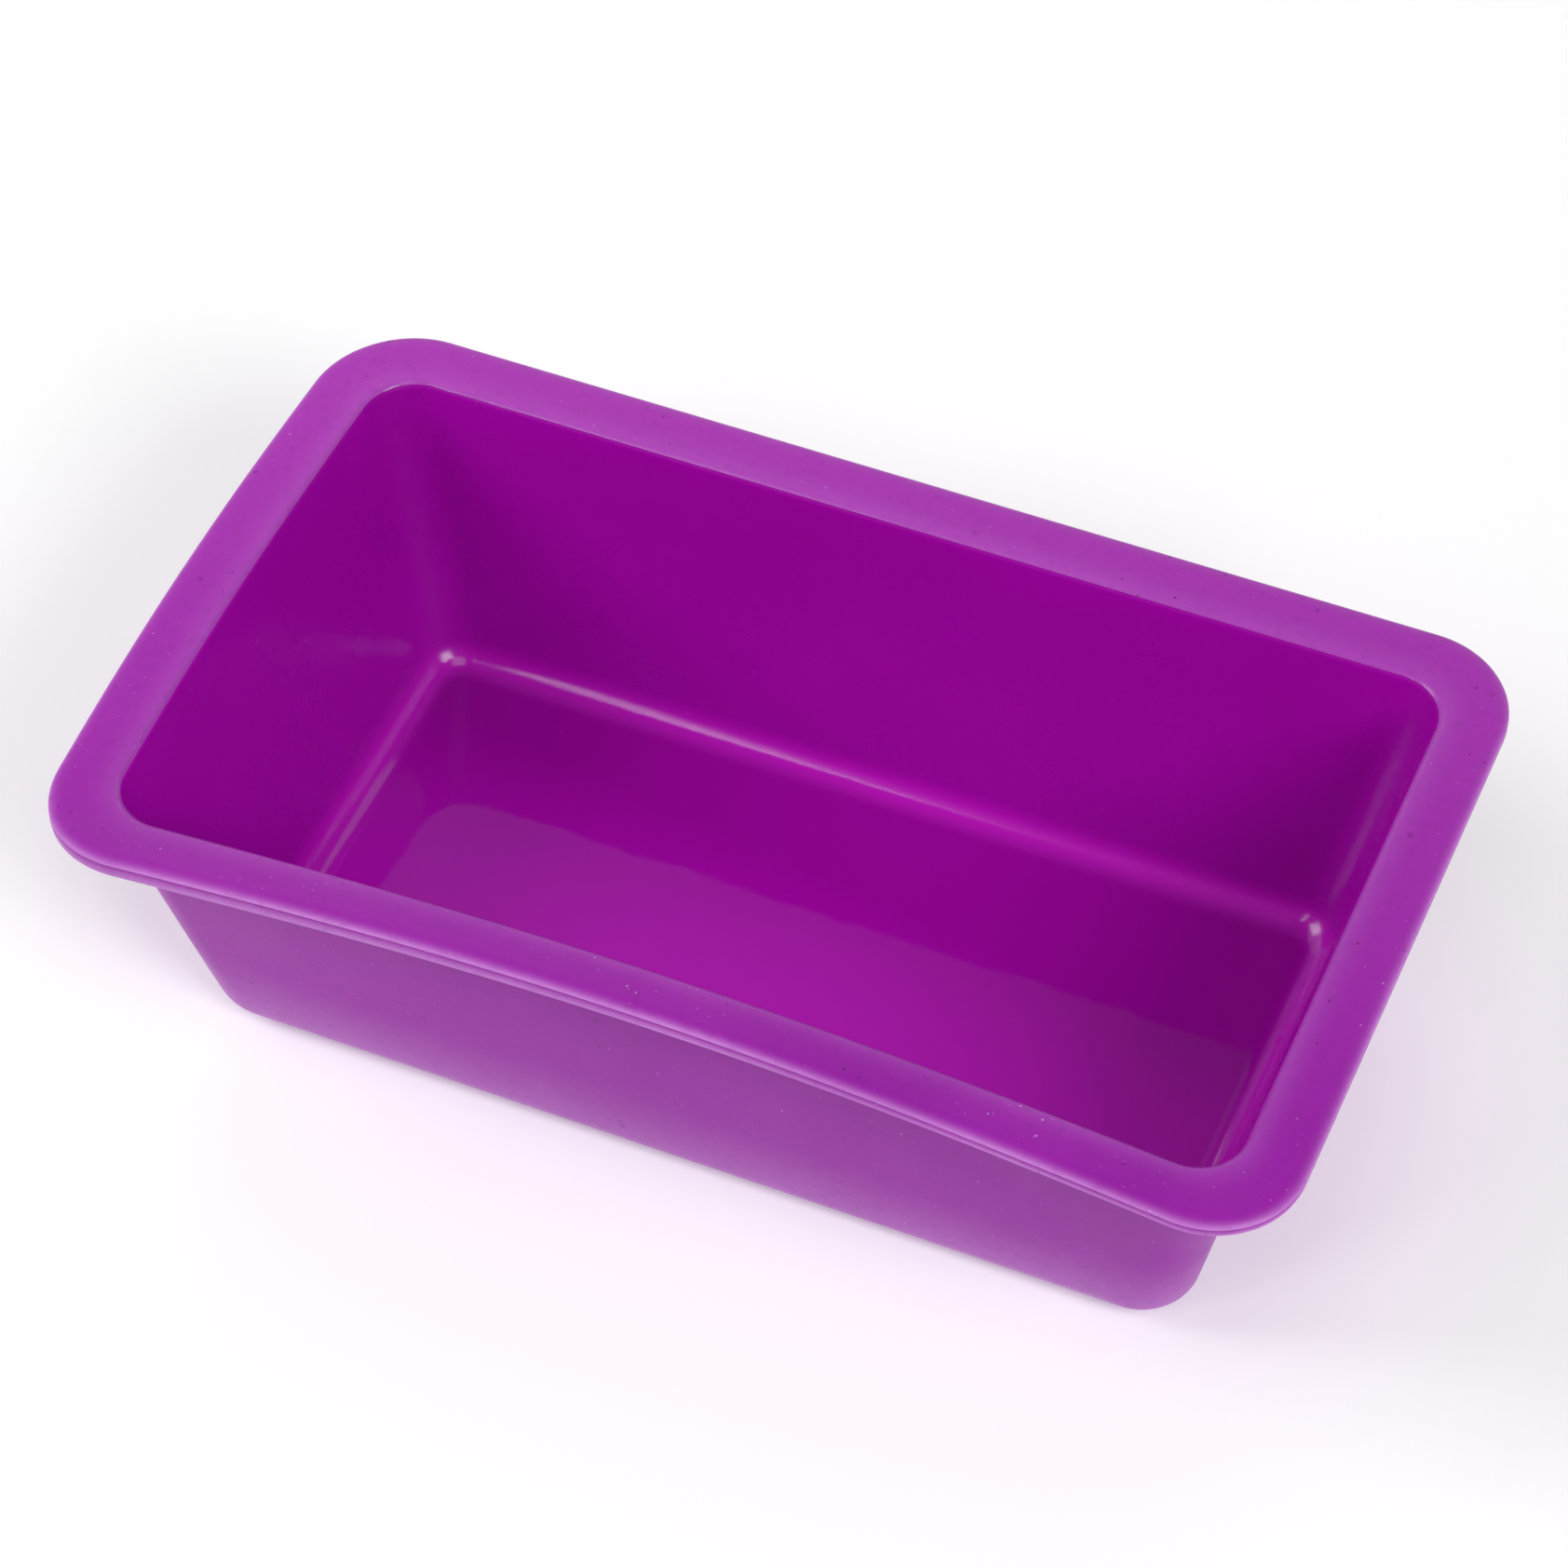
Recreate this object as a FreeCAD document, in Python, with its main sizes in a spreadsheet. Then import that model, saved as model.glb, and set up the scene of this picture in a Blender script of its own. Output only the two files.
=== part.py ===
import FreeCAD, Part
import math
import os
import Sketcher

# Silicone loaf mould for soap: one moulded tray with tapered walls and a flat flange rim.
#
# Frame: +X along the length, +Y across the width, +Z up. The origin is the centre of the
# flat base, on the surface that the mould stands on. Lengths are in millimetres.

NODE = "mould_body"

# Driving dimensions: alias, value, what it is.
DIMENSIONS = [
    ("rim_length", 240.0, "flange rim, outside, along X"),
    ("rim_width", 143.0, "flange rim, outside, along Y"),
    ("rim_corner", 19.0, "flange rim, corner radius in plan"),
    ("rim_thickness", 3.0, "flange rim, top face to underside"),
    ("mouth_length", 215.0, "cavity at the rim's top face, along X"),
    ("mouth_width", 118.0, "cavity at the rim's top face, along Y"),
    ("mouth_corner", 9.5, "cavity at the rim's top face, corner radius in plan"),
    ("base_length", 195.7, "outside of the walls carried down to the base, along X"),
    ("base_width", 100.0, "outside of the walls carried down to the base, along Y"),
    ("base_corner", 11.0, "outside of the walls at the base, corner radius in plan"),
    ("total_height", 67.0, "base to the rim's top face"),
    ("wall_thickness", 2.0, "side walls, measured level"),
    ("floor_thickness", 2.0, "floor of the cavity down to the base"),
    ("floor_fillet", 7.5, "cavity, between the walls and the floor"),
    ("mouth_round", 2.2, "cavity's top edge, where the wall turns into the rim"),
    ("throat_fillet", 1.0, "outside, between the walls and the rim's underside"),
    ("rim_top_round", 1.2, "rim's outer edge, top, down to the parting line"),
    ("rim_lower_round", 0.5, "rim's outer edge, bottom"),
]


def dimension_sheet(doc):
    """Put the driving dimensions in a spreadsheet, one aliased cell each."""
    sheet = doc.addObject("Spreadsheet::Sheet", "Dimensions")
    for row, (alias, value, meaning) in enumerate(DIMENSIONS, start=1):
        sheet.set(f"A{row}", meaning)
        sheet.set(f"B{row}", str(value))
        sheet.setAlias(f"B{row}", alias)
    doc.recompute()
    return sheet


def origin_plane(body, role):
    """Find one of the body's own origin planes."""
    for feature in body.Origin.OriginFeatures:
        if feature.Role == role:
            return feature
    raise LookupError(role)


def rounded_rectangle(body, name, length, width, radius, level):
    """Sketch a rounded rectangle centred on the Z axis.

    The last four arguments are expressions in the sheet's aliases.
    """
    sketch = body.newObject("Sketcher::SketchObject", name)
    sketch.AttachmentSupport = [(origin_plane(body, "XY_Plane"), "")]
    sketch.MapMode = "FlatFace"
    sketch.setExpression("AttachmentOffset.Base.z", level)

    x = float(sketch.evalExpression(length)) / 2
    y = float(sketch.evalExpression(width)) / 2
    r = float(sketch.evalExpression(radius))
    normal = FreeCAD.Vector(0, 0, 1)
    quarter = math.pi / 2
    corners = [(x - r, y - r), (r - x, y - r), (r - x, r - y), (x - r, r - y)]
    for turn, (cx, cy) in enumerate(corners):
        circle = Part.Circle(FreeCAD.Vector(cx, cy, 0), normal, r)
        sketch.addGeometry(Part.ArcOfCircle(circle, turn * quarter, (turn + 1) * quarter))
    ends = [
        ((x - r, y), (r - x, y)),
        ((-x, y - r), (-x, r - y)),
        ((r - x, -y), (x - r, -y)),
        ((x, r - y), (x, y - r)),
    ]
    for start, end in ends:
        line = Part.LineSegment(FreeCAD.Vector(*start, 0), FreeCAD.Vector(*end, 0))
        sketch.addGeometry(line)

    # Arcs are geometry 0 to 3 and lines 4 to 7, both in order round the outline.
    for arc in range(4):
        line = arc + 4
        next_arc = (arc + 1) % 4
        sketch.addConstraint(Sketcher.Constraint("Tangent", arc, 2, line, 1))
        sketch.addConstraint(Sketcher.Constraint("Tangent", line, 2, next_arc, 1))
    for line, direction in ((4, "Horizontal"), (5, "Vertical"), (6, "Horizontal"), (7, "Vertical")):
        sketch.addConstraint(Sketcher.Constraint(direction, line))
    for arc in range(1, 4):
        sketch.addConstraint(Sketcher.Constraint("Equal", 0, arc))
    sketch.addConstraint(Sketcher.Constraint("Symmetric", 0, 3, 2, 3, -1, 1))

    sizes = (
        ("outline_length", Sketcher.Constraint("DistanceX", 5, 1, 7, 2, 2 * x), length),
        ("outline_width", Sketcher.Constraint("DistanceY", 6, 1, 4, 1, 2 * y), width),
        ("outline_corner", Sketcher.Constraint("Radius", 0, r), radius),
    )
    for label, constraint, expression in sizes:
        index = sketch.addConstraint(constraint)
        sketch.renameConstraint(index, label)
        sketch.setExpression(f"Constraints.{label}", expression)
    return sketch


def loft(body, kind, name, upper, lower):
    """Loft straight from the upper outline down to the lower one; kind is Additive or Subtractive."""
    feature = body.newObject(f"PartDesign::{kind}Loft", name)
    feature.Profile = upper
    feature.Sections = [lower]
    feature.Ruled = True
    body.Document.recompute()
    return feature


def level_edges(feature, level, wanted=None):
    """Name the feature's edges that lie flat at one height, and whose midpoint is wanted."""
    tolerance = 1e-4
    names = []
    for index, edge in enumerate(feature.Shape.Edges, start=1):
        box = edge.BoundBox
        flat = abs(box.ZMin - level) < tolerance and abs(box.ZMax - level) < tolerance
        middle = edge.valueAt((edge.FirstParameter + edge.LastParameter) / 2)
        if flat and (wanted is None or wanted(middle)):
            names.append(f"Edge{index}")
    return names


def fillet(body, name, base, edge_names, radius):
    """Round the named edges of the base feature; radius is an expression."""
    feature = body.newObject("PartDesign::Fillet", name)
    feature.Base = (base, edge_names)
    feature.setExpression("Radius", radius)
    body.Document.recompute()
    return feature


def tapered_block(body):
    """The outside of the walls, solid for now, from the base up to the rim's top face."""
    neck = rounded_rectangle(
        body,
        "neck_outline",
        "Dimensions.mouth_length + 2 * Dimensions.wall_thickness",
        "Dimensions.mouth_width + 2 * Dimensions.wall_thickness",
        "Dimensions.mouth_corner + Dimensions.wall_thickness",
        "Dimensions.total_height",
    )
    base = rounded_rectangle(
        body,
        "base_outline",
        "Dimensions.base_length",
        "Dimensions.base_width",
        "Dimensions.base_corner",
        "0 mm",
    )
    return loft(body, "Additive", "tapered_block", neck, base)


def flange_rim(body):
    """The flat plate round the top of the block."""
    outline = rounded_rectangle(
        body,
        "rim_outline",
        "Dimensions.rim_length",
        "Dimensions.rim_width",
        "Dimensions.rim_corner",
        "Dimensions.total_height - Dimensions.rim_thickness",
    )
    rim = body.newObject("PartDesign::Pad", "flange_rim")
    rim.Profile = outline
    rim.setExpression("Length", "Dimensions.rim_thickness")
    body.Document.recompute()
    return rim


def cavity(body):
    """The hollow: the same taper as the outside, one wall thickness in."""
    mouth = rounded_rectangle(
        body,
        "mouth_outline",
        "Dimensions.mouth_length",
        "Dimensions.mouth_width",
        "Dimensions.mouth_corner",
        "Dimensions.total_height",
    )
    floor = rounded_rectangle(
        body,
        "floor_outline",
        "Dimensions.base_length - 2 * Dimensions.wall_thickness",
        "Dimensions.base_width - 2 * Dimensions.wall_thickness",
        "Dimensions.base_corner - Dimensions.wall_thickness",
        "Dimensions.floor_thickness",
    )
    return loft(body, "Subtractive", "cavity", mouth, floor)


def mould_body(doc, sheet):
    """The whole mould: tapered tray, flange rim, cavity and rounded edges."""
    body = doc.addObject("PartDesign::Body", NODE)
    body.Label = NODE
    body.Placement = FreeCAD.Placement()

    top = sheet.get("total_height")
    underside = top - sheet.get("rim_thickness")
    neck_x = sheet.get("mouth_length") / 2 + sheet.get("wall_thickness")
    neck_y = sheet.get("mouth_width") / 2 + sheet.get("wall_thickness")

    def at_neck(point):
        return abs(point.x) <= neck_x and abs(point.y) <= neck_y

    def at_rim_edge(point):
        return not at_neck(point)

    tapered_block(body)
    rim = flange_rim(body)
    throat_edges = level_edges(rim, underside, at_neck)
    throat = fillet(body, "throat_fillet", rim, throat_edges, "Dimensions.throat_fillet")
    lower_edges = level_edges(throat, underside, at_rim_edge)
    lower_round = fillet(body, "rim_lower_round", throat, lower_edges, "Dimensions.rim_lower_round")
    top_edges = level_edges(lower_round, top, at_rim_edge)
    fillet(body, "rim_top_round", lower_round, top_edges, "Dimensions.rim_top_round")

    # The cavity is cut before the base edge is rounded, because its floor corner is still sharp here.
    hollow = cavity(body)
    floor_edges = level_edges(hollow, sheet.get("floor_thickness"))
    floor_round = fillet(body, "floor_fillet", hollow, floor_edges, "Dimensions.floor_fillet")
    mouth_edges = level_edges(floor_round, top, at_neck)
    mouth_round = fillet(body, "mouth_round", floor_round, mouth_edges, "Dimensions.mouth_round")

    # The base edge takes the floor fillet plus the wall, so the skin keeps its thickness round the turn.
    base_radius = "Dimensions.floor_fillet + Dimensions.wall_thickness"
    body.Tip = fillet(body, "base_round", mouth_round, level_edges(mouth_round, 0.0), base_radius)
    doc.recompute()
    return body


def check_document(doc, nodes):
    """Stop if any object failed, or any sub-part has no valid closed solid."""
    for item in doc.Objects:
        if "Invalid" in item.State or "Error" in item.State:
            raise RuntimeError(f"{item.Name} failed: {item.State}")
    for node in nodes:
        shape = node.Shape
        if shape.isNull() or not shape.isValid() or len(shape.Solids) != 1:
            raise RuntimeError(f"{node.Label} has no valid solid")


def main():
    doc = FreeCAD.newDocument("soap_mould")
    sheet = dimension_sheet(doc)
    nodes = [mould_body(doc, sheet)]
    check_document(doc, nodes)
    os.makedirs("parts", exist_ok=True)
    for node in nodes:
        node.Shape.exportStep(f"parts/{node.Label}.step")
        box = node.Shape.optimalBoundingBox()
        size = f"{box.XLength:.2f} x {box.YLength:.2f} x {box.ZLength:.2f} mm"
        print(node.Label, size, f"{node.Shape.Volume / 1000:.1f} cm3")


main()
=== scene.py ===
import math

import bpy
import numpy as np
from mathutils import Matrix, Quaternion, Vector


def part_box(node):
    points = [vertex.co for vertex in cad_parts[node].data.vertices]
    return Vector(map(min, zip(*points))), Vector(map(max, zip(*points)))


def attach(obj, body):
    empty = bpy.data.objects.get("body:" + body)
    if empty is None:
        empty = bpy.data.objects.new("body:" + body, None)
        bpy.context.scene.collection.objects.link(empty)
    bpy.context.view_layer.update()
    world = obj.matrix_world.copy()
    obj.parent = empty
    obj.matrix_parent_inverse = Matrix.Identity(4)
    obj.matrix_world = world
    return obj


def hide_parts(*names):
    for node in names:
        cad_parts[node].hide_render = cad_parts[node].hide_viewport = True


# Looks for the silicone loaf mould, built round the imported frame.
#
# The CAD node is the mould as designed, with straight sides. Here the same section is swept round the
# same outlines as one closed skin, then flexed the way soft silicone hangs: the front side leans in,
# the left end bulges out and the flange twists. Lengths are in metres: +X along the length, +Z up.

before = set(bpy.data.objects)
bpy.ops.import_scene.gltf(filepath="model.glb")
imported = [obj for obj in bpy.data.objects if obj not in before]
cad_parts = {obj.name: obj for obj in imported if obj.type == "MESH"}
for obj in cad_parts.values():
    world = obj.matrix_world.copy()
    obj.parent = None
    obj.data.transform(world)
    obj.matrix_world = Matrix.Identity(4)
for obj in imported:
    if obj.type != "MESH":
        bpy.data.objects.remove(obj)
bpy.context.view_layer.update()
node_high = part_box("mould_body")[1]

MM = 0.001
HEIGHT = node_high.z
RIM = (node_high.x, node_high.y, 19.0 * MM)

# Outlines are (half length, half width, corner radius). Walls taper between a lower and an upper one.
FLANGE_WIDTH = 12.5 * MM
WALL = 2.0 * MM
FLOOR = 2.0 * MM
MOUTH = (RIM[0] - FLANGE_WIDTH, RIM[1] - FLANGE_WIDTH, 9.5 * MM)
NECK = (MOUTH[0] + WALL, MOUTH[1] + WALL, 7.0 * MM)
BASE = (97.85 * MM, 50.0 * MM, 11.0 * MM)
CAVITY_FLOOR = (BASE[0] - WALL, BASE[1] - WALL, BASE[2] - WALL)

RIM_THICKNESS = 3.0 * MM
RIM_TOP_DROP = 1.2 * MM
RIM_TOP_REACH = 3.2 * MM
RIM_LOWER_ROUND = 0.6 * MM
MOUTH_ROUND = 2.2 * MM
THROAT_FILLET = 1.0 * MM
FLOOR_FILLET = 7.5 * MM
UNDERSIDE = HEIGHT - RIM_THICKNESS
PARTING = HEIGHT - RIM_TOP_DROP

# Angles of the mouth's turn, in degrees up from straight outwards: where the tool's polish starts,
# and where the turn runs into the tapered wall.
GLOSS_START = 140
MOUTH_END = 170

# The parting groove in the rim's side, upwards: how deep, and how far below the parting line.
GROOVE = [
    (0.0, 0.32 * MM),
    (0.02 * MM, 0.24 * MM),
    (0.12 * MM, 0.16 * MM),
    (0.11 * MM, 0.09 * MM),
]
# Groove rings deeper than this get the painted shade.
PAINTED_GROOVE_SHADE_DEPTH = 0.05 * MM

# How finely the skin is divided: up the section first, then round the outlines.
BASE_STEPS = 14
WALL_STEPS = 14
THROAT_STEPS = 4
UNDERSIDE_STEPS = 7
LOWER_EDGE_STEPS = 5
TOP_EDGE_STEPS = 14
RIM_STEPS = 8
MOUTH_STEPS = 7
POLISHED_MOUTH_STEPS = 4
FILLET_STEPS = 16
CORNER_STEPS = 20
LONG_SIDE_STEPS = 64
SHORT_SIDE_STEPS = 38


# ---------------------------------------------------------------- section of the skin

def between(lower, upper, share):
    """The outline part of the way from one outline to another."""
    return tuple(a + (b - a) * share for a, b in zip(lower, upper))


def grown(outline, outwards):
    """The outline moved outwards all round."""
    return tuple(size + outwards for size in outline)


def floor_turn(lower, upper, floor_level, radius, steps):
    """Stations of the rounded turn from a floor up into a tapered wall."""
    rise = HEIGHT - floor_level
    slopes = [(upper[axis] - lower[axis]) / rise for axis in range(2)]
    draft = math.atan(slopes[0])
    stations = []
    for step in range(steps + 1):
        angle = math.pi / 2 + (draft - math.pi / 2) * step / steps
        level = radius * (1 - math.sin(angle))
        halves = []
        for axis in range(2):
            centre = lower[axis] + slopes[axis] * radius - radius * math.hypot(1, slopes[axis])
            halves.append(centre + radius * math.cos(angle))
        wall = between(lower, upper, level / rise)
        corner = halves[0] - (wall[0] - wall[2])
        stations.append((halves[0], halves[1], corner, floor_level + level))
    return stations


def wall_run(lower, upper, floor_level, start, end, steps):
    """Stations straight up or down a tapered wall, from one level to another, ends left out."""
    stations = []
    for step in range(1, steps):
        level = start + (end - start) * step / steps
        share = (level - floor_level) / (HEIGHT - floor_level)
        stations.append((*between(lower, upper, share), level))
    return stations


def turn(centre, centre_level, reach, drop, start, end, steps):
    """Stations round part of an ellipse of the section; angles go up from straight outwards, in degrees."""
    stations = []
    for step in range(steps + 1):
        angle = math.radians(start + (end - start) * step / steps)
        outline = grown(centre, reach * math.cos(angle))
        stations.append((*outline, centre_level + drop * math.sin(angle)))
    return stations


def level_run(start, end, level, steps):
    """Stations across a level face, ends left out."""
    return [(*between(start, end, step / steps), level) for step in range(1, steps)]


def outside_stations():
    """The section from the underside of the base, up the outside, to the rim's lower edge."""
    stations = floor_turn(BASE, NECK, 0.0, FLOOR_FILLET + WALL, BASE_STEPS)
    throat_level = UNDERSIDE - THROAT_FILLET
    stations += wall_run(BASE, NECK, 0.0, stations[-1][3], throat_level, WALL_STEPS)
    throat_outline = grown(between(BASE, NECK, throat_level / HEIGHT), THROAT_FILLET)
    stations += turn(throat_outline, throat_level, THROAT_FILLET, THROAT_FILLET, 180, 90, THROAT_STEPS)
    lower_centre = grown(RIM, -RIM_LOWER_ROUND)
    stations += level_run(throat_outline, lower_centre, UNDERSIDE, UNDERSIDE_STEPS)
    lower_level = UNDERSIDE + RIM_LOWER_ROUND
    stations += turn(lower_centre, lower_level, RIM_LOWER_ROUND, RIM_LOWER_ROUND, -90, 0, LOWER_EDGE_STEPS)
    return stations


def parting_stations():
    """The rim's side at the parting line: the groove where the two halves of the tool met."""
    return [(*grown(RIM, -depth), PARTING - drop) for depth, drop in GROOVE]


def top_stations():
    """The section from the parting line over the rim and part of the way round the mouth."""
    rim_centre = grown(RIM, -RIM_TOP_REACH)
    stations = turn(rim_centre, PARTING, RIM_TOP_REACH, RIM_TOP_DROP, 0, 90, TOP_EDGE_STEPS)
    mouth_centre = grown(MOUTH, MOUTH_ROUND)
    mouth_level = HEIGHT - MOUTH_ROUND
    stations += level_run(rim_centre, mouth_centre, HEIGHT, RIM_STEPS)
    stations += turn(mouth_centre, mouth_level, MOUTH_ROUND, MOUTH_ROUND, 90, GLOSS_START, MOUTH_STEPS)
    return stations


def cavity_stations():
    """The section from the mouth down the cavity wall and round on to the floor."""
    centre = grown(MOUTH, MOUTH_ROUND)
    level = HEIGHT - MOUTH_ROUND
    mouth = turn(centre, level, MOUTH_ROUND, MOUTH_ROUND, GLOSS_START, MOUTH_END, POLISHED_MOUTH_STEPS)
    fillet = floor_turn(CAVITY_FLOOR, MOUTH, FLOOR, FLOOR_FILLET, FILLET_STEPS)
    wall = wall_run(CAVITY_FLOOR, MOUTH, FLOOR, level, fillet[-1][3], WALL_STEPS)
    return mouth[1:] + wall + fillet[::-1]


# ---------------------------------------------------------------- sweeping the section round

def column_table():
    """For each column of the skin: two corner points and how far it lies from the first to the second.

    The columns run anticlockwise from the middle of the corner at +X +Y. Each side is half a corner,
    a straight and half a corner, so the same columns are the border of a grid that closes the floor.
    """
    corners = [(1, 1, 0), (-1, 1, 90), (-1, -1, 180), (1, -1, 270)]
    straights = [LONG_SIDE_STEPS, SHORT_SIDE_STEPS] * 2
    half = CORNER_STEPS // 2
    columns = []
    for side in range(4):
        ax, ay, a_start = corners[side]
        bx, by, b_start = corners[(side + 1) % 4]
        for step in range(half):
            angle = a_start + 45 + 90 * step / CORNER_STEPS
            columns.append((ax, ay, angle, ax, ay, angle, 0.0))
        for step in range(straights[side]):
            columns.append((ax, ay, a_start + 90, bx, by, b_start, step / straights[side]))
        for step in range(half):
            angle = b_start + 90 * step / CORNER_STEPS
            columns.append((bx, by, angle, bx, by, angle, 0.0))
    return np.array(columns, float)


def corner_points(outline, signs, angles):
    """Points on the corner arcs of a rounded rectangle."""
    half_x, half_y, corner = outline
    angles = np.radians(angles)
    x = signs[:, 0] * (half_x - corner) + corner * np.cos(angles)
    y = signs[:, 1] * (half_y - corner) + corner * np.sin(angles)
    return np.stack([x, y], axis=1)


def ring(station, columns):
    """The closed row of points at one station of the section."""
    outline, level = station[:3], station[3]
    first = corner_points(outline, columns[:, 0:2], columns[:, 2])
    second = corner_points(outline, columns[:, 3:5], columns[:, 5])
    share = columns[:, 6:7]
    flat = first + (second - first) * share
    return np.column_stack([flat, np.full(len(flat), level)])


def filled(border, across, up):
    """Grid of points inside a ring, as (up + 1, across + 1, 3), blended from its four sides."""
    back = border[: across + 1][::-1]
    left = border[across: across + up + 1][::-1]
    front = border[across + up: 2 * across + up + 1]
    right = np.vstack([border[2 * across + up:], border[:1]])
    u = np.linspace(0, 1, across + 1)[None, :, None]
    v = np.linspace(0, 1, up + 1)[:, None, None]
    grid = (1 - v) * front[None] + v * back[None] + (1 - u) * left[:, None] + u * right[:, None]
    grid -= (1 - u) * (1 - v) * front[0] + u * (1 - v) * front[-1]
    grid -= (1 - u) * v * back[0] + u * v * back[-1]
    return grid


def closed_skin(stations):
    """Points and faces of the section swept round, with the first and last rings filled in."""
    columns = column_table()
    count = len(columns)
    across = LONG_SIDE_STEPS + CORNER_STEPS
    up = SHORT_SIDE_STEPS + CORNER_STEPS
    rings = [ring(station, columns) for station in stations]
    points = list(np.vstack(rings))
    faces = []
    for row in range(len(rings) - 1):
        for column in range(count):
            following = (column + 1) % count
            lower, upper = row * count, (row + 1) * count
            faces.append((lower + column, lower + following, upper + following, upper + column))

    for row, downwards in ((0, True), (len(rings) - 1, False)):
        first = row * count
        grid = filled(rings[row], across, up)
        index = -np.ones((up + 1, across + 1), int)
        index[up, :] = first + np.arange(across, -1, -1)
        index[:, 0] = first + np.arange(across + up, across - 1, -1)
        index[0, :] = first + np.arange(across + up, 2 * across + up + 1)
        index[:, across] = first + np.arange(2 * across + up, 2 * across + 2 * up + 1) % count
        for i in range(1, up):
            for j in range(1, across):
                index[i, j] = len(points)
                points.append(grid[i, j])
        for i in range(up):
            for j in range(across):
                quad = (index[i, j], index[i, j + 1], index[i + 1, j + 1], index[i + 1, j])
                faces.append(quad[::-1] if downwards else quad)
    return np.array(points), faces


# ---------------------------------------------------------------- the way soft silicone hangs

# How far the rim has moved from the designed shape, and the front flange's tip in degrees.
RIM_SHIFT = 1.5 * MM
FRONT_LEAN = 7.0 * MM
LEFT_BULGE = 2.7 * MM
FRONT_TIP_LEFT = 9.0
FRONT_TIP_RIGHT = 3.0
LEFT_SWELL = 1.2 * MM

# How the bending builds up from the base to the rim, and dies away from its own side to the opposite one.
LIFT_POWER = 1.5
SIDE_POWER = 3
TIP_START = 2 / 3

# The swell's share at the left end, what it loses over the length, and its run-in from the neck.
SWELL_AT_LEFT = 1.3
SWELL_LOSS = 1.8
SWELL_RUN_IN = 5.0 * MM


def flexed(points):
    """Bend the designed shape into the relaxed one: more at the rim, nothing at the base."""
    x, y, z = points.T
    lift = np.clip(z / HEIGHT, 0, 1) ** LIFT_POWER
    to_front = np.clip((RIM[1] - y) / (2 * RIM[1]), 0, 1) ** SIDE_POWER
    to_left = np.clip((RIM[0] - x) / (2 * RIM[0]), 0, 1) ** SIDE_POWER
    middle_of_length = np.cos(np.clip(x / RIM[0], -1, 1) * math.pi / 2)
    middle_of_width = np.cos(np.clip(y / RIM[1], -1, 1) * math.pi / 2)

    # The front flange tips up about the neck, more at its left than at its right.
    share = (x + RIM[0]) / (2 * RIM[0])
    tip = np.radians(FRONT_TIP_LEFT + (FRONT_TIP_RIGHT - FRONT_TIP_LEFT) * share)
    overhang = np.clip(-y - NECK[1], 0, None)
    raised = overhang * np.sin(tip) * np.clip((lift - TIP_START) / (1 - TIP_START), 0, 1)

    # The same flange is thicker at its left, below the parting line.
    under = np.clip((PARTING - z) / (PARTING - UNDERSIDE), 0, 1)
    run_in = np.clip(overhang / SWELL_RUN_IN, 0, 1)
    swell = LEFT_SWELL * np.clip(SWELL_AT_LEFT - SWELL_LOSS * share, 0, 1) * under * run_in

    out = points.copy()
    out[:, 0] = x + (RIM_SHIFT - LEFT_BULGE * to_left * middle_of_width) * lift
    out[:, 1] = y + FRONT_LEAN * to_front * middle_of_length * lift
    out[:, 2] = z + raised - swell
    return out


# ---------------------------------------------------------------- materials

SILICONE_INDEX = 1.41
SHEEN_ROUGHNESS = 0.35

# Light soaks into the rubber: its share, how deep it goes, and how that depth splits by colour.
SOAKING_SHARE = 0.5
SOAKING_DEPTH = 3.0 * MM
SOAKING_BY_COLOUR = (1.0, 0.2, 1.0)

# The parts of a noise texture's range that are stretched into a mottle and into smudges.
MOTTLE_CONTRAST = (0.35, 0.65)
SMUDGE_CONTRAST = (0.3, 0.7)

# How sharp the choice is between cells with a speck and cells without one.
SHARP = 0.001

# Colours of the outside and the rim.
SATIN_DARK = (0.285, 0.003, 0.335)
SATIN_LIGHT = (0.315, 0.005, 0.365)
# Painted light: the outside and rim lighter towards the back left, where more light falls.
SATIN_PAINTED_LIGHT_BACK_LEFT = (0.40, 0.030, 0.44)
# Painted glow and highlights at the rim's edges and side, and painted light from the table at the base.
PAINTED_GLOW_COLOUR = (0.56, 0.23, 0.63)
# Painted shade in the parting groove.
PAINTED_GROOVE_SHADE = (0.30, 0.03, 0.34)
FLECK = (0.18, 0.008, 0.23)

# Colours of the cavity.
GLOSSY_DARK = (0.350, 0.0008, 0.357)
GLOSSY_LIGHT = (0.384, 0.0012, 0.395)
# Painted shade and light on the cavity floor: darker at the back, lighter at the front.
FLOOR_PAINTED_SHADE_BACK = (0.30, 0.0009, 0.30)
FLOOR_PAINTED_LIGHT_FRONT = (0.51, 0.0018, 0.52)
# Painted light along the cavity's fillets.
FILLET_PAINTED_LIGHT = (0.47, 0.005, 0.46)

# Directions that the painted light and shade drift along: the rim lighter towards the back left, the cavity
# floor lighter towards the front.
TO_FRONT_RIGHT = (0.35, -0.94, 0.0)
TO_FRONT = (-0.14, -0.99, 0.0)

# Kinds of speck: cells per metre, size in cells, share of cells, strength from one end of the mottle
# to the other, and colour.
BLOOM = (620.0, 0.16, 0.30, (0.1, 0.35), (0.62, 0.30, 0.68))
DUST = (250.0, 0.065, 0.6, (0.15, 0.65), (0.74, 0.46, 0.78))
STAINS = (130.0, 0.10, 0.6, (0.5, 0.15), (0.15, 0.006, 0.20))
# Small dark dots.
DARK_DOTS = (290.0, 0.10, 0.5, (0.9, 0.3), (0.07, 0.004, 0.09))
CAVITY_DUST = (220.0, 0.05, 0.2, (0.1, 0.4), (0.62, 0.20, 0.64))


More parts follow.
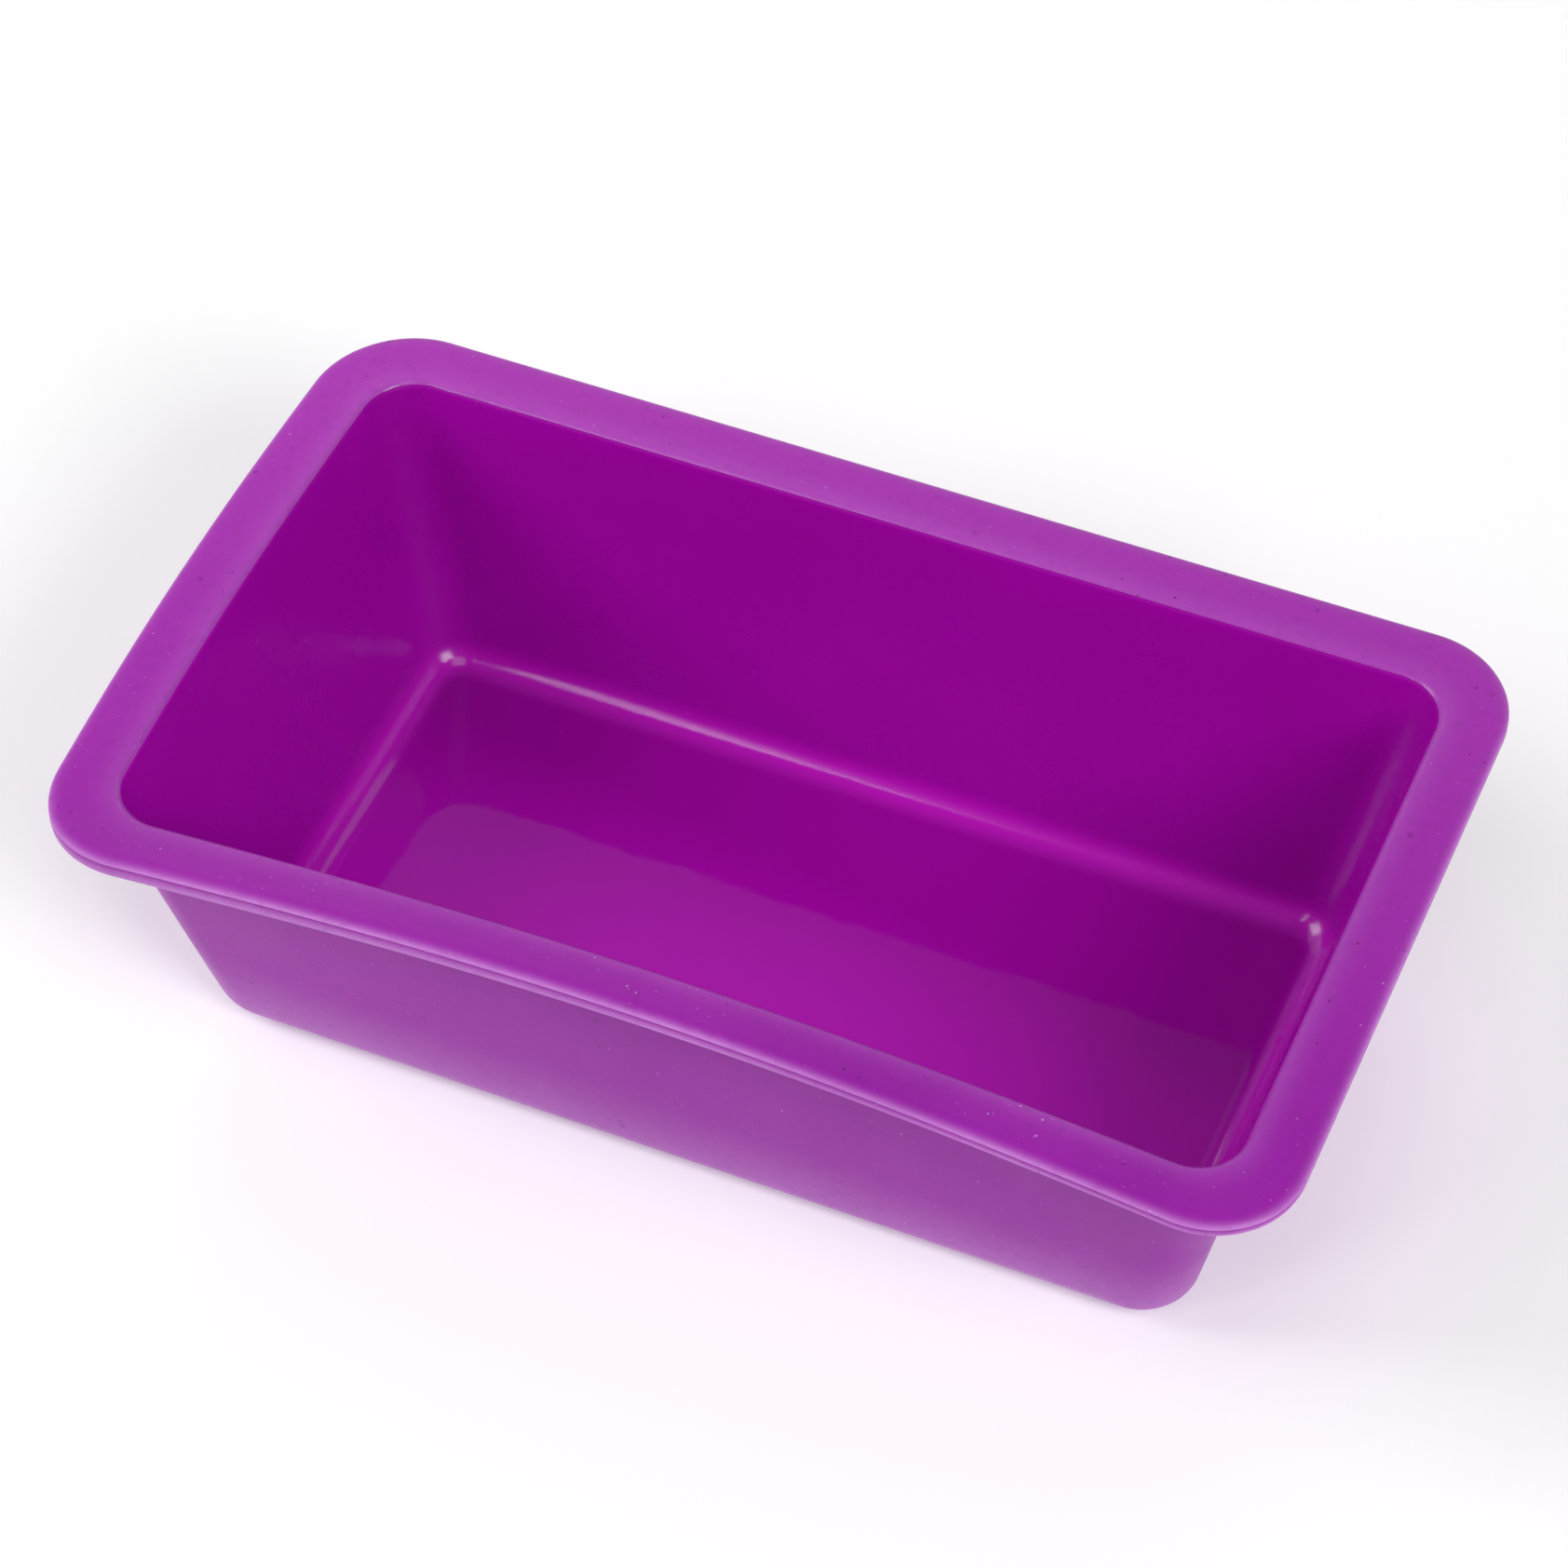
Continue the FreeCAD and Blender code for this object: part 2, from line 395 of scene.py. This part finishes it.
def add_node(tree, kind, **settings):
    """Add a shader node; settings are its attributes."""
    made = tree.nodes.new(kind)
    for name, value in settings.items():
        setattr(made, name, value)
    return made


def noise_value(tree, scale, detail=3.0, roughness=0.5):
    """A noise texture in object space, as its value output."""
    place = add_node(tree, "ShaderNodeTexCoord")
    texture = add_node(tree, "ShaderNodeTexNoise", noise_dimensions="3D")
    texture.inputs["Scale"].default_value = scale
    texture.inputs["Detail"].default_value = detail
    texture.inputs["Roughness"].default_value = roughness
    tree.links.new(place.outputs["Object"], texture.inputs["Vector"])
    return texture.outputs["Fac"]


def remapped(tree, value, source, target=(0.0, 1.0)):
    """Map a value from one range to another, clamped."""
    mapping = add_node(tree, "ShaderNodeMapRange", clamp=True)
    mapping.inputs["From Min"].default_value = source[0]
    mapping.inputs["From Max"].default_value = source[1]
    mapping.inputs["To Min"].default_value = target[0]
    mapping.inputs["To Max"].default_value = target[1]
    tree.links.new(value, mapping.inputs["Value"])
    return mapping.outputs["Result"]


def combined(tree, operation, first, second):
    """The sum or the product of two values."""
    node = add_node(tree, "ShaderNodeMath", operation=operation)
    tree.links.new(first, node.inputs[0])
    tree.links.new(second, node.inputs[1])
    return node.outputs["Value"]


def multiplied(tree, first, second):
    """The product of two values."""
    return combined(tree, "MULTIPLY", first, second)


def mixed(tree, share, first, second):
    """Mix two colours, each a socket or an (r, g, b) tuple, by a value."""
    mix = add_node(tree, "ShaderNodeMix", data_type="RGBA")
    tree.links.new(share, mix.inputs["Factor"])
    for socket, colour in ((mix.inputs["A"], first), (mix.inputs["B"], second)):
        if isinstance(colour, tuple):
            socket.default_value = (*colour, 1.0)
        else:
            tree.links.new(colour, socket)
    return mix.outputs["Result"]


def along(tree, direction, start, end):
    """0 to 1 along a direction of the object, between two distances from its middle."""
    place = add_node(tree, "ShaderNodeTexCoord")
    product = add_node(tree, "ShaderNodeVectorMath", operation="DOT_PRODUCT")
    product.inputs[1].default_value = direction
    tree.links.new(place.outputs["Object"], product.inputs[0])
    return remapped(tree, product.outputs["Value"], (start, end))


def specks(tree, cells_per_metre, size, share):
    """Scattered small round specks: 1 on a speck, 0 elsewhere. The share is of cells that hold one."""
    place = add_node(tree, "ShaderNodeTexCoord")
    cells = add_node(tree, "ShaderNodeTexVoronoi", feature="F1")
    cells.inputs["Scale"].default_value = cells_per_metre
    tree.links.new(place.outputs["Object"], cells.inputs["Vector"])
    spot = remapped(tree, cells.outputs["Distance"], (size / 2, size), (1.0, 0.0))
    pick = add_node(tree, "ShaderNodeSeparateColor")
    tree.links.new(cells.outputs["Color"], pick.inputs["Color"])
    threshold = 1 - share
    chosen = remapped(tree, pick.outputs["Red"], (threshold, threshold + SHARP))
    return multiplied(tree, spot, chosen)


def speckled(tree, base, mottle, kind):
    """The base colour with one kind of speck on it, stronger or weaker with the mottle."""
    cells_per_metre, size, share, strength, colour = kind
    amount = remapped(tree, mottle, (0, 1), strength)
    return mixed(tree, multiplied(tree, specks(tree, cells_per_metre, size, share), amount), base, colour)


def bump(tree, height, strength, distance, under=None):
    """A bump from a height value, over an earlier bump if there is one; returns the normal."""
    node = add_node(tree, "ShaderNodeBump")
    node.inputs["Strength"].default_value = strength
    node.inputs["Distance"].default_value = distance
    tree.links.new(height, node.inputs["Height"])
    if under is not None:
        tree.links.new(under, node.inputs["Normal"])
    return node.outputs["Normal"]


def vertex_mask(tree, name):
    """A mask stored on the skin's points."""
    return add_node(tree, "ShaderNodeAttribute", attribute_name=name).outputs["Fac"]


def rubber_shader(material, gloss, sheen):
    """The parts of the shader that are the same all over: silicone's index, bloom and soaking light."""
    material.use_nodes = True
    shader = material.node_tree.nodes["Principled BSDF"]
    shader.inputs["IOR"].default_value = SILICONE_INDEX
    shader.inputs["Specular IOR Level"].default_value = gloss
    shader.inputs["Sheen Weight"].default_value = sheen
    shader.inputs["Sheen Roughness"].default_value = SHEEN_ROUGHNESS
    shader.inputs["Subsurface Weight"].default_value = SOAKING_SHARE
    shader.inputs["Subsurface Radius"].default_value = SOAKING_BY_COLOUR
    shader.inputs["Subsurface Scale"].default_value = SOAKING_DEPTH
    return material.node_tree, shader


def satin_colour(tree):
    """Mottled purple with specks on it; painted light at the back left, a painted glow and highlights at
    the edges and the base turn, and painted shade in the groove.
    """
    mottle = remapped(tree, noise_value(tree, scale=24.0, detail=5.0), MOTTLE_CONTRAST)
    base = mixed(tree, mottle, SATIN_DARK, SATIN_LIGHT)
    # Painted light: lighter towards the back left.
    base = mixed(tree, along(tree, TO_FRONT_RIGHT, -90 * MM, 90 * MM), SATIN_PAINTED_LIGHT_BACK_LEFT, base)
    painted_glow = multiplied(tree, vertex_mask(tree, "painted_glow"), remapped(tree, mottle, (0, 1), (0.8, 1.0)))
    # Painted glow and highlights where the mask says.
    base = mixed(tree, painted_glow, base, PAINTED_GLOW_COLOUR)
    # Painted shade in the parting groove.
    base = mixed(tree, vertex_mask(tree, "parting"), base, PAINTED_GROOVE_SHADE)
    fleck = noise_value(tree, scale=420.0, detail=4.0, roughness=0.7)
    base = mixed(tree, remapped(tree, fleck, (0.5, 0.75), (0.0, 0.22)), base, FLECK)
    for kind in (BLOOM, DUST, STAINS, DARK_DOTS):
        base = speckled(tree, base, mottle, kind)
    return base


def satin_silicone():
    """The outside and the rim: a fine satin grain, mottled bloom, stray dust and dark dots."""
    material = bpy.data.materials.new("silicone_satin")
    tree, shader = rubber_shader(material, gloss=0.31, sheen=0.015)
    tree.links.new(satin_colour(tree), shader.inputs["Base Color"])

    smudge = noise_value(tree, scale=60.0, detail=5.0, roughness=0.6)
    satin = remapped(tree, smudge, SMUDGE_CONTRAST, (0.36, 0.46))
    polish = remapped(tree, vertex_mask(tree, "polish"), (0, 1), (1.0, 0.3))
    tree.links.new(multiplied(tree, satin, polish), shader.inputs["Roughness"])
    broad = noise_value(tree, scale=80.0, detail=2.0)
    waves = bump(tree, broad, strength=0.35, distance=0.1 * MM)
    fine = noise_value(tree, scale=2600.0, detail=2.0)
    grain = bump(tree, fine, strength=0.35, distance=0.02 * MM, under=waves)
    tree.links.new(grain, shader.inputs["Normal"])
    return material


def glossy_colour(tree, dull, fillet):
    """Deep purple: a floor painted lighter towards the front and darker towards the back, plainer walls and
    painted light on the fillets.
    """
    mottle = remapped(tree, noise_value(tree, scale=18.0, detail=4.0), MOTTLE_CONTRAST)
    walls = mixed(tree, mottle, GLOSSY_DARK, GLOSSY_LIGHT)
    # Painted light and shade: the floor lighter towards the front, darker towards the back.
    floor = mixed(tree, along(tree, TO_FRONT, -23 * MM, 25 * MM), FLOOR_PAINTED_SHADE_BACK, FLOOR_PAINTED_LIGHT_FRONT)
    base = mixed(tree, dull, floor, walls)
    # Painted light along the fillets.
    base = mixed(tree, fillet, base, FILLET_PAINTED_LIGHT)
    return speckled(tree, base, mottle, CAVITY_DUST)


def glossy_silicone():
    """The cavity: polished and deep in colour, with a slightly wavy floor and duller walls."""
    material = bpy.data.materials.new("silicone_glossy")
    tree, shader = rubber_shader(material, gloss=0.5, sheen=0.0)
    dull = vertex_mask(tree, "dull")
    fillet = vertex_mask(tree, "fillet")
    tree.links.new(glossy_colour(tree, dull, fillet), shader.inputs["Base Color"])

    smudge = noise_value(tree, scale=45.0, detail=5.0, roughness=0.6)
    polished = remapped(tree, smudge, SMUDGE_CONTRAST, (0.035, 0.06))
    added = remapped(tree, dull, (0, 1), (0.0, 0.23))
    tree.links.new(combined(tree, "ADD", polished, added), shader.inputs["Roughness"])
    on_floor = remapped(tree, dull, (0, 1), (1.0, 0.0))
    ripple = multiplied(tree, noise_value(tree, scale=95.0, detail=2.0), on_floor)
    waves = bump(tree, ripple, strength=0.45, distance=0.1 * MM)
    sparkle = multiplied(tree, fillet, noise_value(tree, scale=1800.0, detail=1.0))
    grain = bump(tree, sparkle, strength=0.5, distance=0.03 * MM, under=waves)
    tree.links.new(grain, shader.inputs["Normal"])
    return material


# ---------------------------------------------------------------- the mould

# How strongly the painted glow and highlights pale the rubber, from 0 to 1, and how far in or up that
# reaches.
TOP_PAINTED_GLOW = 0.03
EDGE_PAINTED_GLOW = 0.95
EDGE_REACH = 4.0 * MM
LIP_PAINTED_GLOW = 0.28
LIP_REACH = 7.0 * MM
SIDE_PAINTED_GLOW = 0.2
LOWER_EDGE_PAINTED_GLOW = 0.75
LOWER_EDGE_REACH = 2.0 * MM
BASE_PAINTED_GLOW = 0.85
BASE_REACH = 26.0 * MM
TOLERANCE = 0.01 * MM

# How sharply the painted light along the fillet peaks, and how much of the fillet stays as glossy as the
# floor.
FILLET_PEAK = 2.5
GLOSSY_SHARE = 0.1


def fading(distance, reach, power):
    """1 at no distance, falling to 0 at the reach."""
    return max(0.0, 1 - distance / reach) ** power


def painted_glow_at(station):
    """How much the painted glow pales the rubber at a station outside: most at the thin rim edge and the
    base turn.
    """
    inwards = RIM[0] - station[0]
    level = station[3]
    on_mouth = inwards > FLANGE_WIDTH - MOUTH_ROUND and level > UNDERSIDE
    if on_mouth or level > PARTING - TOLERANCE:
        # Painted highlight at the rim's outer edge, painted glow at the mouth.
        edge = EDGE_PAINTED_GLOW * fading(inwards, EDGE_REACH, 6)
        lip = LIP_PAINTED_GLOW * fading(FLANGE_WIDTH - inwards, LIP_REACH, 2)
        return TOP_PAINTED_GLOW + max(edge, lip)
    # Painted glow on the rim's side, painted highlight along its lower edge.
    if level > UNDERSIDE + RIM_LOWER_ROUND:
        return SIDE_PAINTED_GLOW
    if level > UNDERSIDE - TOLERANCE:
        return LOWER_EDGE_PAINTED_GLOW * fading(inwards, LOWER_EDGE_REACH, 1)
    # Painted light bounced from the table, fading up from the base.
    return BASE_PAINTED_GLOW * fading(level, BASE_REACH, 1.5)


def ring_mask(mesh, name, values, columns):
    """Store one value per ring of the skin on all the ring's points; points inside the floors get 0."""
    mask = mesh.attributes.new(name, "FLOAT", "POINT")
    on_rings = np.repeat(np.array(values, np.float32), columns)
    inside = np.zeros(len(mesh.vertices) - len(on_rings), np.float32)
    mask.data.foreach_set("value", np.concatenate([on_rings, inside]))


def paint_masks(mesh, satin, stations, columns):
    """Store the masks that the two materials read, one value per ring."""
    # The groove's rings come after the outside's.
    before = [0.0] * len(outside_stations())
    # Painted shade on the groove's deeper rings.
    groove = [float(depth > PAINTED_GROOVE_SHADE_DEPTH) for depth, drop in GROOVE]
    after = [0.0] * (len(stations) - len(before) - len(groove))
    ring_mask(mesh, "parting", before + groove + after, columns)

    in_cavity = len(stations) - len(satin)
    # Painted glow and highlights on the outside, none in the cavity.
    painted_glow = [painted_glow_at(station) for station in satin]
    ring_mask(mesh, "painted_glow", painted_glow + [0.0] * in_cavity, columns)
    unpolished = [0.0] * (len(satin) - MOUTH_STEPS)
    mouth = [step / MOUTH_STEPS for step in range(MOUTH_STEPS)]
    ring_mask(mesh, "polish", unpolished + mouth + [1.0] * in_cavity, columns)

    # The fillet's rings are the last ones, and run down from the wall to the floor.
    fillet = [0.0] * len(stations)
    dull = [0.0] * len(satin) + [1.0] * in_cavity
    for step in range(FILLET_STEPS + 1):
        share = step / FILLET_STEPS
        # The fillet mask carries the painted light and the sparkle bump.
        fillet[-1 - step] = math.sin(math.pi * share) ** FILLET_PEAK
        dull[-1 - step] = max(0.0, (1 + GLOSSY_SHARE) * share - GLOSSY_SHARE)
    ring_mask(mesh, "fillet", fillet, columns)
    ring_mask(mesh, "dull", dull, columns)


def mould():
    """The whole mould as one closed mesh: satin outside and rim, glossy cavity."""
    satin = outside_stations() + parting_stations() + top_stations()
    stations = satin + cavity_stations()
    points, faces = closed_skin(stations)

    mesh = bpy.data.meshes.new("silicone_skin")
    mesh.from_pydata(flexed(points).tolist(), [], faces)
    mesh.materials.append(satin_silicone())
    mesh.materials.append(glossy_silicone())

    # Faces come ring by ring, then the base's grid, then the cavity floor's.
    columns = len(column_table())
    ring_faces = (len(stations) - 1) * columns
    grid_faces = (LONG_SIDE_STEPS + CORNER_STEPS) * (SHORT_SIDE_STEPS + CORNER_STEPS)
    glossy = np.zeros(len(faces), np.int32)
    glossy[(len(satin) - 1) * columns:ring_faces] = 1
    glossy[ring_faces + grid_faces:] = 1
    mesh.polygons.foreach_set("material_index", glossy)
    paint_masks(mesh, satin, stations, columns)
    mesh.shade_smooth()
    mesh.update()

    piece = bpy.data.objects.new("mould", mesh)
    bpy.context.scene.collection.objects.link(piece)
    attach(piece, "root")
    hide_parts("mould_body")


# ---------------------------------------------------------------- floor, light and camera

# Name, azimuth and elevation in degrees, distance, width and height, power in watts, and the full
# angle of the beam in degrees. The back panel's narrow beam makes its reflection fade to the right.
SOFTBOXES = [
    ("front_left_key", -28, 36, 1.5, 0.12, 0.90, 2.4, 180),
    ("left_fill", -70, 38, 1.3, 0.55, 0.55, 6.1, 180),
    ("right_fill", 62, 42, 1.3, 0.55, 0.55, 9.0, 180),
    ("camera_side_fill", 25, 65, 1.2, 0.50, 0.50, 1.9, 180),
    ("back_panel", 212, 53, 1.0, 0.55, 0.70, 0.0038, 20),
    ("back_strip", 190, 33, 0.6, 0.70, 0.20, 0.60, 180),
    ("back_left_strip", 222, 32, 0.7, 0.40, 0.20, 0.10, 180),
    ("back_right_lamp", 168, 48, 1.0, 0.36, 0.36, 0.40, 180),
    ("back_left_lamp", 266, 45, 0.7, 0.40, 0.40, 0.50, 180),
]
ROOM_GLOW = 0.11
WHITE = (1.0, 1.0, 1.0, 1.0)

TABLE_HALF = 3.0
TABLE_GAP = 0.1 * MM
TABLE_COLOUR = (0.88, 0.88, 0.88, 1.0)
TABLE_GLOW = 0.15

# The camera's direction from its aim in degrees, its roll, its aim and distance, and its lens in mm.
CAMERA_AZIMUTH = 25.43
CAMERA_ELEVATION = 50.61
CAMERA_ROLL = -2.7
CAMERA_AIM = (3.4 * MM, -3.6 * MM, 62.5 * MM)
CAMERA_DISTANCE = 954.8 * MM
CAMERA_LENS = 120.63
SENSOR_WIDTH = 36.0


def pale_floor():
    """A wide matt white table top under the mould."""
    half = TABLE_HALF
    mesh = bpy.data.meshes.new("table_top")
    corners = [(-half, -half, 0), (half, -half, 0), (half, half, 0), (-half, half, 0)]
    mesh.from_pydata(corners, [], [(0, 1, 2, 3)])
    material = bpy.data.materials.new("pale_table")
    material.use_nodes = True
    shader = material.node_tree.nodes["Principled BSDF"]
    shader.inputs["Base Color"].default_value = TABLE_COLOUR
    shader.inputs["Roughness"].default_value = 0.7
    shader.inputs["Specular IOR Level"].default_value = 0.2
    shader.inputs["Emission Color"].default_value = WHITE
    shader.inputs["Emission Strength"].default_value = TABLE_GLOW
    mesh.materials.append(material)
    floor = bpy.data.objects.new("floor", mesh)
    bpy.context.scene.collection.objects.link(floor)
    floor.location.z = -TABLE_GAP


def towards(azimuth, elevation):
    """The direction from the mould; azimuth 0 is the front side, -Y, and 90 is +X."""
    a = math.radians(azimuth)
    e = math.radians(elevation)
    return Vector((math.sin(a) * math.cos(e), -math.cos(a) * math.cos(e), math.sin(e)))


def softbox(name, azimuth, elevation, distance, width, height, power, beam):
    """An area light aimed at the mould."""
    away = towards(azimuth, elevation)
    light = bpy.data.lights.new(name, "AREA")
    light.shape = "RECTANGLE"
    light.size = width
    light.size_y = height
    light.energy = power
    light.spread = math.radians(beam)
    lamp = bpy.data.objects.new(name, light)
    lamp.location = away * distance
    lamp.rotation_mode = "QUATERNION"
    lamp.rotation_quaternion = (-away).to_track_quat("-Z", "Y")
    bpy.context.scene.collection.objects.link(lamp)


def studio():
    """White surroundings and softboxes all round, each one soft and plain."""
    world = bpy.data.worlds.new("white_room")
    bpy.context.scene.world = world
    world.use_nodes = True
    background = world.node_tree.nodes["Background"]
    background.inputs["Color"].default_value = WHITE
    background.inputs["Strength"].default_value = ROOM_GLOW
    for row in SOFTBOXES:
        softbox(*row)
    bpy.context.scene.view_settings.view_transform = "Standard"


def camera():
    """A long lens from the front right, about fifty degrees above the table, with a small roll."""
    back = towards(CAMERA_AZIMUTH, CAMERA_ELEVATION)
    roll = Quaternion((0, 0, 1), math.radians(CAMERA_ROLL))
    data = bpy.data.cameras.new("camera")
    data.sensor_width = SENSOR_WIDTH
    data.lens = CAMERA_LENS
    eye = bpy.data.objects.new("camera", data)
    eye.location = Vector(CAMERA_AIM) + back * CAMERA_DISTANCE
    eye.rotation_mode = "QUATERNION"
    eye.rotation_quaternion = (-back).to_track_quat("-Z", "Y") @ roll
    bpy.context.scene.collection.objects.link(eye)
    bpy.context.scene.camera = eye


mould()
pale_floor()
studio()
camera()
